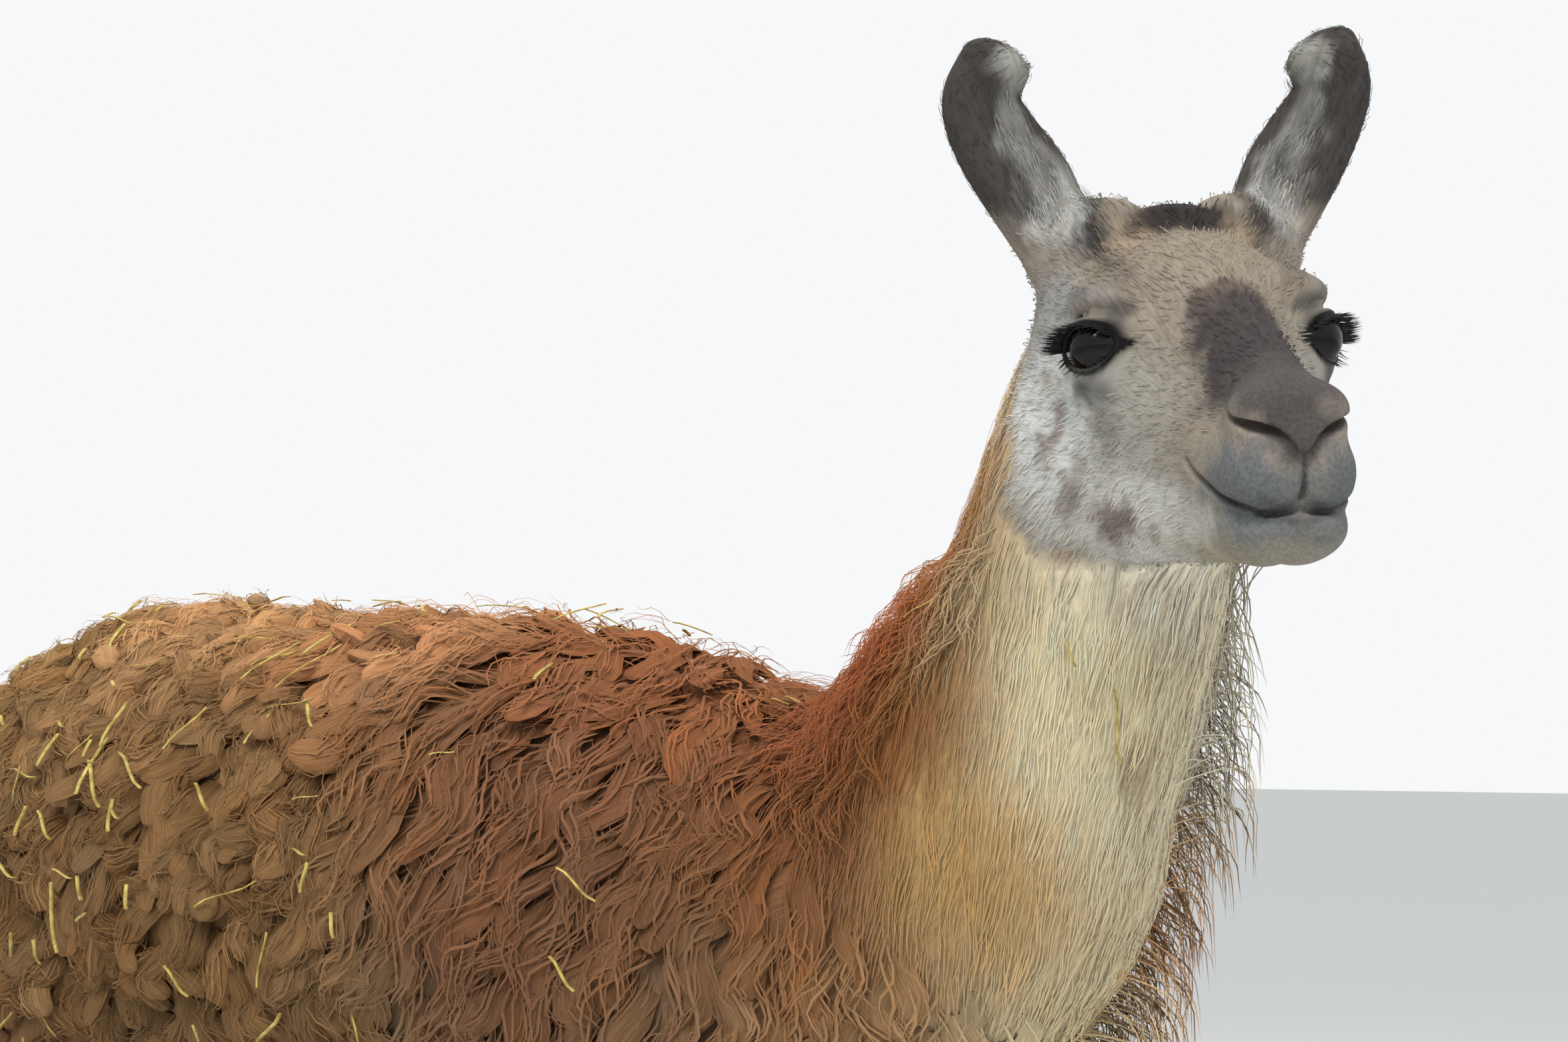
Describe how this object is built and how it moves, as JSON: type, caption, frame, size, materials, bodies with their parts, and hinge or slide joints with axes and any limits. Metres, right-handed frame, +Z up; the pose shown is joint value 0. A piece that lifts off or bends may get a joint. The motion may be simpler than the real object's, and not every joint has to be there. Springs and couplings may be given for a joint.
{
  "type": "llama",
  "caption": "Standing llama with a woolly brown body, a cream throat and a grey face, its neck raised and its head turned to its right.",
  "frame": {"origin": "on the floor, below the middle of the animal's bounding box", "axes": "+Z up; the trunk faces -Y and its left side is +X; the neck leans forward and the head is turned to the animal's right, towards -X"},
  "size_m": [0.5454, 1.6588, 1.5037],
  "materials": {
    "fleece": "long curly fleece in tan, reddish brown and cream",
    "face": "short fur, light grey-beige with a dark bridge and poll",
    "ear": "short dark grey-brown fur with pale fringes",
    "leg": "short to medium brown fur",
    "eye": "wet dark eye",
    "nail": "dark smooth horn"
  },
  "bodies": {
    "root": {"head": "face", "neck": "fleece", "trunk": "fleece", "tail": "fleece", "ear_right": "ear", "ear_left": "ear", "eye_right": "eye", "eye_left": "eye", "leg_front_right": "leg", "foot_front_right": "leg", "nail_front_right_inner": "nail", "nail_front_right_outer": "nail", "leg_front_left": "leg", "foot_front_left": "leg", "nail_front_left_inner": "nail", "nail_front_left_outer": "nail", "leg_hind_right": "leg", "foot_hind_right": "leg", "nail_hind_right_inner": "nail", "nail_hind_right_outer": "nail", "leg_hind_left": "leg", "foot_hind_left": "leg", "nail_hind_left_inner": "nail", "nail_hind_left_outer": "nail"}
  },
  "joints": []
}
